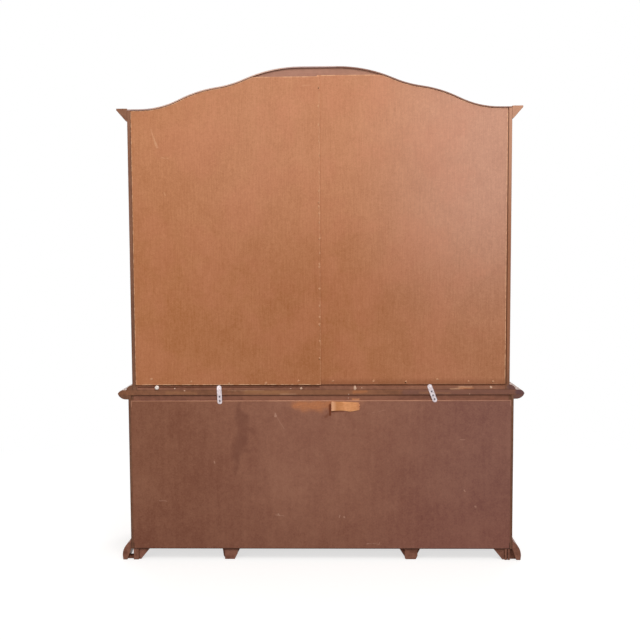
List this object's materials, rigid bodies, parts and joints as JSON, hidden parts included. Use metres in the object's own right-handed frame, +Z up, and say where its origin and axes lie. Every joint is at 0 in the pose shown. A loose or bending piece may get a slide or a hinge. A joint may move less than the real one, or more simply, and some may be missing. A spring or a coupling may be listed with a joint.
{
  "type": "dresser with hutch",
  "caption": "Dresser with a glazed hutch: wide base case with drawers and doors on bracket feet, and an arched-top hutch with glass doors and shelves.",
  "frame": {"origin": "on the floor, in the middle of the outside box", "axes": "+Z up, +Y towards the back, the doors face -Y, +X to the right seen from the front"},
  "size_m": [1.635, 0.4786, 1.9782],
  "materials": {
    "base_side_left": "brown stained hardwood, satin lacquer",
    "base_side_right": "brown stained hardwood, satin lacquer",
    "base_partitions": "plain interior wood",
    "base_bottom": "plain interior wood",
    "base_top": "brown stained hardwood, satin lacquer",
    "base_top_moulding": "brown stained hardwood, satin lacquer",
    "base_back_panel": "reddish-brown painted hardboard",
    "base_back_rail": "brown stained hardwood, satin lacquer",
    "base_face_frame": "brown stained hardwood, satin lacquer",
    "base_skirt": "brown stained hardwood, satin lacquer",
    "base_shelves": "plain interior wood",
    "front_feet": "brown stained hardwood, satin lacquer",
    "rear_feet": "brown stained hardwood, satin lacquer",
    "middle_feet": "brown stained hardwood, satin lacquer",
    "drawer_runners": "plain interior wood",
    "hutch_side_left": "brown stained hardwood, satin lacquer",
    "hutch_side_right": "brown stained hardwood, satin lacquer",
    "hutch_partitions": "brown stained hardwood, satin lacquer",
    "hutch_bottom": "brown stained hardwood, satin lacquer",
    "hutch_back_rails": "brown stained hardwood, satin lacquer",
    "hutch_face_frame": "brown stained hardwood, satin lacquer",
    "hutch_roof": "brown stained hardwood, satin lacquer",
    "hutch_plinth_moulding": "brown stained hardwood, satin lacquer",
    "crown_moulding": "brown stained hardwood, satin lacquer",
    "hutch_shelves": "brown stained hardwood, satin lacquer",
    "back_sheet_left": "tan hardboard sheet, unfinished",
    "back_sheet_right": "tan hardboard sheet, unfinished",
    "shelf_pins": "zinc-plated steel",
    "hinge_leaves": "aged brass",
    "door_catches": "zinc-plated steel",
    "mending_plates": "zinc-plated steel",
    "wall_bumper": "white plastic",
    "drawer_top_front": "brown stained hardwood, satin lacquer",
    "drawer_top_box": "plain interior wood",
    "drawer_top_pulls": "aged brass",
    "drawer_middle_front": "brown stained hardwood, satin lacquer",
    "drawer_middle_box": "plain interior wood",
    "drawer_middle_pulls": "aged brass",
    "drawer_bottom_front": "brown stained hardwood, satin lacquer",
    "drawer_bottom_box": "plain interior wood",
    "drawer_bottom_pulls": "aged brass",
    "base_door_left_frame": "brown stained hardwood, satin lacquer",
    "base_door_left_panel": "brown stained hardwood, satin lacquer",
    "base_door_left_hardware": "aged brass",
    "base_door_right_frame": "brown stained hardwood, satin lacquer",
    "base_door_right_panel": "brown stained hardwood, satin lacquer",
    "base_door_right_hardware": "aged brass",
    "hutch_door_outer_left_frame": "brown stained hardwood, satin lacquer",
    "hutch_door_outer_left_glass": "clear float glass",
    "hutch_door_outer_left_hardware": "aged brass",
    "hutch_door_inner_left_frame": "brown stained hardwood, satin lacquer",
    "hutch_door_inner_left_glass": "clear float glass",
    "hutch_door_inner_left_hardware": "aged brass",
    "hutch_door_inner_right_frame": "brown stained hardwood, satin lacquer",
    "hutch_door_inner_right_glass": "clear float glass",
    "hutch_door_inner_right_hardware": "aged brass",
    "hutch_door_outer_right_frame": "brown stained hardwood, satin lacquer",
    "hutch_door_outer_right_glass": "clear float glass",
    "hutch_door_outer_right_hardware": "aged brass"
  },
  "bodies": {
    "case": {"base_side_left": "base_side_left", "base_side_right": "base_side_right", "base_partitions": "base_partitions", "base_bottom": "base_bottom", "base_top": "base_top", "base_top_moulding": "base_top_moulding", "base_back_panel": "base_back_panel", "base_back_rail": "base_back_rail", "base_face_frame": "base_face_frame", "base_skirt": "base_skirt", "base_shelves": "base_shelves", "front_feet": "front_feet", "rear_feet": "rear_feet", "middle_feet": "middle_feet", "drawer_runners": "drawer_runners", "hutch_side_left": "hutch_side_left", "hutch_side_right": "hutch_side_right", "hutch_partitions": "hutch_partitions", "hutch_bottom": "hutch_bottom", "hutch_back_rails": "hutch_back_rails", "hutch_face_frame": "hutch_face_frame", "hutch_roof": "hutch_roof", "hutch_plinth_moulding": "hutch_plinth_moulding", "crown_moulding": "crown_moulding", "hutch_shelves": "hutch_shelves", "back_sheet_left": "back_sheet_left", "back_sheet_right": "back_sheet_right", "shelf_pins": "shelf_pins", "hinge_leaves": "hinge_leaves", "door_catches": "door_catches", "mending_plates": "mending_plates", "wall_bumper": "wall_bumper"},
    "drawer_top": {"drawer_top_front": "drawer_top_front", "drawer_top_box": "drawer_top_box", "drawer_top_pulls": "drawer_top_pulls"},
    "drawer_middle": {"drawer_middle_front": "drawer_middle_front", "drawer_middle_box": "drawer_middle_box", "drawer_middle_pulls": "drawer_middle_pulls"},
    "drawer_bottom": {"drawer_bottom_front": "drawer_bottom_front", "drawer_bottom_box": "drawer_bottom_box", "drawer_bottom_pulls": "drawer_bottom_pulls"},
    "base_door_left": {"base_door_left_frame": "base_door_left_frame", "base_door_left_panel": "base_door_left_panel", "base_door_left_hardware": "base_door_left_hardware"},
    "base_door_right": {"base_door_right_frame": "base_door_right_frame", "base_door_right_panel": "base_door_right_panel", "base_door_right_hardware": "base_door_right_hardware"},
    "hutch_door_outer_left": {"hutch_door_outer_left_frame": "hutch_door_outer_left_frame", "hutch_door_outer_left_glass": "hutch_door_outer_left_glass", "hutch_door_outer_left_hardware": "hutch_door_outer_left_hardware"},
    "hutch_door_inner_left": {"hutch_door_inner_left_frame": "hutch_door_inner_left_frame", "hutch_door_inner_left_glass": "hutch_door_inner_left_glass", "hutch_door_inner_left_hardware": "hutch_door_inner_left_hardware"},
    "hutch_door_inner_right": {"hutch_door_inner_right_frame": "hutch_door_inner_right_frame", "hutch_door_inner_right_glass": "hutch_door_inner_right_glass", "hutch_door_inner_right_hardware": "hutch_door_inner_right_hardware"},
    "hutch_door_outer_right": {"hutch_door_outer_right_frame": "hutch_door_outer_right_frame", "hutch_door_outer_right_glass": "hutch_door_outer_right_glass", "hutch_door_outer_right_hardware": "hutch_door_outer_right_hardware"}
  },
  "joints": [
    {"name": "drawer_top_slide", "type": "slide", "parent": "case", "child": "drawer_top", "axis": [0, -1, 0], "range_m": [0, 0.28]},
    {"name": "drawer_middle_slide", "type": "slide", "parent": "case", "child": "drawer_middle", "axis": [0, -1, 0], "range_m": [0, 0.28]},
    {"name": "drawer_bottom_slide", "type": "slide", "parent": "case", "child": "drawer_bottom", "axis": [0, -1, 0], "range_m": [0, 0.28]},
    {"name": "base_door_left_hinge", "type": "hinge", "parent": "case", "child": "base_door_left", "pos_m": [-0.72575, -0.20075, 0.375], "axis": [0, 0, -1], "range_deg": [0, 110]},
    {"name": "base_door_right_hinge", "type": "hinge", "parent": "case", "child": "base_door_right", "pos_m": [0.72575, -0.20075, 0.375], "axis": [0, 0, 1], "range_deg": [0, 110]},
    {"name": "hutch_door_outer_left_hinge", "type": "hinge", "parent": "case", "child": "hutch_door_outer_left", "pos_m": [-0.70875, -0.10075, 1.2405], "axis": [0, 0, -1], "range_deg": [0, 105]},
    {"name": "hutch_door_inner_left_hinge", "type": "hinge", "parent": "case", "child": "hutch_door_inner_left", "pos_m": [-0.34375, -0.10075, 1.2405], "axis": [0, 0, -1], "range_deg": [0, 105]},
    {"name": "hutch_door_inner_right_hinge", "type": "hinge", "parent": "case", "child": "hutch_door_inner_right", "pos_m": [0.34375, -0.10075, 1.2405], "axis": [0, 0, 1], "range_deg": [0, 105]},
    {"name": "hutch_door_outer_right_hinge", "type": "hinge", "parent": "case", "child": "hutch_door_outer_right", "pos_m": [0.70875, -0.10075, 1.2405], "axis": [0, 0, 1], "range_deg": [0, 105]}
  ]
}
